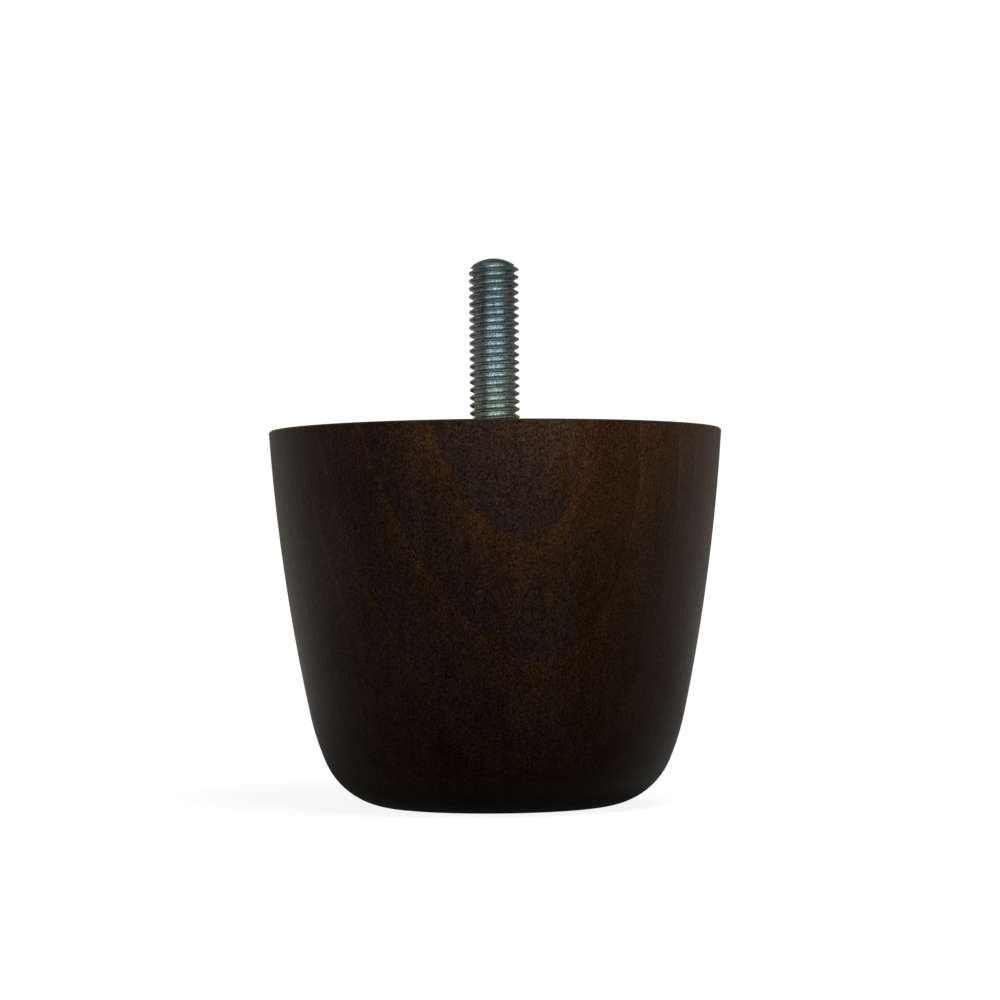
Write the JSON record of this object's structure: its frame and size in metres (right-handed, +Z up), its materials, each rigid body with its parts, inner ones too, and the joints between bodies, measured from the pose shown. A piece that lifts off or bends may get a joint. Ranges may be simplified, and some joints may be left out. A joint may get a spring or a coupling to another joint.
{
  "type": "wooden furniture foot",
  "caption": "Turned dark wooden furniture foot with a rounded taper down to a flat floor face, and a metric stud that screws it into the furniture.",
  "frame": {"origin": "centre of the floor face, on the axis of the turned body", "axes": "+Z up along the common axis of the body and the stud, towards the furniture; the picture looks along +Y"},
  "size_m": [0.0724, 0.0724, 0.0878],
  "materials": {
    "stained_wood": "dark brown stain under a satin varnish",
    "zinc_plated_steel": "bright zinc plating with a faint blue-green tint"
  },
  "bodies": {
    "root": {"wooden_foot": "stained_wood", "hanger_bolt": "zinc_plated_steel"}
  },
  "joints": []
}
